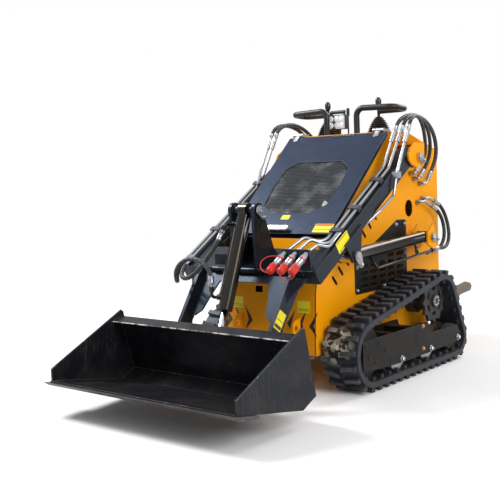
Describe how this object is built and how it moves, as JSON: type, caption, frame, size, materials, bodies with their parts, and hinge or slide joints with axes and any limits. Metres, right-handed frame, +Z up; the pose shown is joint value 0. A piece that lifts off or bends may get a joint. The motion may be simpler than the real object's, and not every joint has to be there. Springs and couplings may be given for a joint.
{
  "type": "stand-on compact track loader",
  "caption": "Stand-on mini track loader with a yellow hull, black sloping hood and lift arms, low bucket, rubber tracks and rear platform.",
  "frame": {"origin": "on the ground, at the middle of the machine's length and width", "axes": "+X forward towards the bucket, +Y to the machine's left, +Z up"},
  "size_m": [2.3686, 1.037, 1.3188],
  "materials": {
    "yellow_paint": "gloss paint, dusty",
    "black_paint": "gloss paint",
    "hood_screen_wire": "woven wire",
    "latch_zinc": "zinc plated",
    "cutting_steel": "worn",
    "chrome_rod": "polished",
    "engine_iron": "rough",
    "sprocket_steel": "satin",
    "track_rubber": "dusty",
    "platform_brown": "dusty",
    "handle_black": "satin",
    "boot_rubber": "matte",
    "lamp_grey": "cast",
    "lever_black": "gloss",
    "hose_rubber": "matte"
  },
  "bodies": {
    "chassis": {"belly_plate": "yellow_paint", "boom_hose_left_1": "hose_rubber", "boom_hose_left_2": "hose_rubber", "boom_hose_left_3": "hose_rubber", "boom_hose_right_1": "hose_rubber", "boom_hose_right_2": "hose_rubber", "boom_tower_left": "yellow_paint", "boom_tower_right": "yellow_paint", "console": "yellow_paint", "control_lever": "lever_black", "drive_motors": "engine_iron", "engine_block": "engine_iron", "front_panel": "yellow_paint", "handles": "handle_black", "hood_hinges": "latch_zinc", "hull_fittings": "latch_zinc", "idlers": "sprocket_steel", "joysticks": "boot_rubber", "lift_hose_left_1": "hose_rubber", "lift_hose_left_2": "hose_rubber", "lift_hose_right_1": "hose_rubber", "lift_hose_right_2": "hose_rubber", "lift_mounts": "yellow_paint", "platform": "platform_brown", "rear_panel": "yellow_paint", "rollers": "sprocket_steel", "side_grilles": "black_paint", "side_panel_left": "yellow_paint", "side_panel_right": "yellow_paint", "sprockets": "sprocket_steel", "tie_downs": "yellow_paint", "tow_loops": "yellow_paint", "track_frame_left": "black_paint", "track_frame_right": "black_paint", "track_left": "track_rubber", "track_right": "track_rubber", "work_lamp": "lamp_grey"},
    "hood": {"hood_latch": "latch_zinc", "hood_leaves": "latch_zinc", "hood_panel": "black_paint", "hood_screen": "hood_screen_wire"},
    "boom": {"arch_frame": "black_paint", "arm_left": "black_paint", "arm_pipes": "latch_zinc", "arm_right": "black_paint", "coupler_bracket": "black_paint", "couplers": "latch_zinc", "cross_beam": "black_paint", "mast": "black_paint", "tilt_hose_1": "hose_rubber", "tilt_hose_2": "hose_rubber"},
    "lift_barrel_left": {"lift_barrel_left": "black_paint"},
    "lift_ram_left": {"lift_ram_left": "chrome_rod"},
    "lift_barrel_right": {"lift_barrel_right": "black_paint"},
    "lift_ram_right": {"lift_ram_right": "chrome_rod"},
    "tilt_barrel": {"tilt_barrel": "black_paint"},
    "tilt_ram": {"tilt_ram": "chrome_rod"},
    "bucket": {"bucket_shell": "black_paint", "cutting_edge": "cutting_steel", "hitch_plate": "black_paint"}
  },
  "joints": [
    {"name": "boom_lift", "type": "hinge", "parent": "chassis", "child": "boom", "pos_m": [-0.35334, 0, 1.014], "axis": [0, -1, 0], "range_deg": [-3, 72], "deforming": ["boom_hose_left_1", "boom_hose_left_2", "boom_hose_left_3", "boom_hose_right_1", "boom_hose_right_2"]},
    {"name": "bucket_tilt", "type": "hinge", "parent": "boom", "child": "bucket", "pos_m": [0.63267, 0, 0.145], "axis": [0, -1, 0], "range_deg": [-110, 12]},
    {"name": "hood_hinge", "type": "hinge", "parent": "chassis", "child": "hood", "pos_m": [-0.26733, 0, 1.147], "axis": [0, -1, 0], "range_deg": [0, 62]},
    {"name": "lift_swing_left", "type": "hinge", "parent": "chassis", "child": "lift_barrel_left", "pos_m": [-0.48434, 0.342, 0.625], "axis": [0, -1, 0], "range_deg": [-2.31, 50.91], "deforming": ["lift_hose_left_1", "lift_hose_left_2"]},
    {"name": "lift_stroke_left", "type": "slide", "parent": "lift_barrel_left", "child": "lift_ram_left", "axis": [0.9989, 0, -0.0473], "range_m": [-0.01738, 0.3711]},
    {"name": "lift_swing_right", "type": "hinge", "parent": "chassis", "child": "lift_barrel_right", "pos_m": [-0.48434, -0.342, 0.625], "axis": [0, -1, 0], "range_deg": [-2.31, 50.91], "deforming": ["lift_hose_right_1", "lift_hose_right_2"]},
    {"name": "lift_stroke_right", "type": "slide", "parent": "lift_barrel_right", "child": "lift_ram_right", "axis": [0.9989, 0, -0.0473], "range_m": [-0.01738, 0.3711]},
    {"name": "tilt_swing", "type": "hinge", "parent": "boom", "child": "tilt_barrel", "pos_m": [0.45766, 0, 0.808], "axis": [0, -1, 0], "range_deg": [-0.62716, 0.2466], "deforming": ["tilt_hose_1", "tilt_hose_2"]},
    {"name": "tilt_stroke", "type": "slide", "parent": "tilt_barrel", "child": "tilt_ram", "axis": [0.3609, 0, -0.9326], "range_m": [-0.0248, 0.21101]}
  ],
  "couplings": [
    {"joint": "lift_swing_left", "follows": "boom_lift", "ratio": 0.70432},
    {"joint": "lift_stroke_left", "follows": "boom_lift", "m_per_rad": 0.29372},
    {"joint": "lift_swing_right", "follows": "boom_lift", "ratio": 0.70432},
    {"joint": "lift_stroke_right", "follows": "boom_lift", "m_per_rad": 0.29372},
    {"joint": "tilt_swing", "follows": "bucket_tilt", "ratio": 0.003883},
    {"joint": "tilt_stroke", "follows": "bucket_tilt", "m_per_rad": -0.10887}
  ]
}
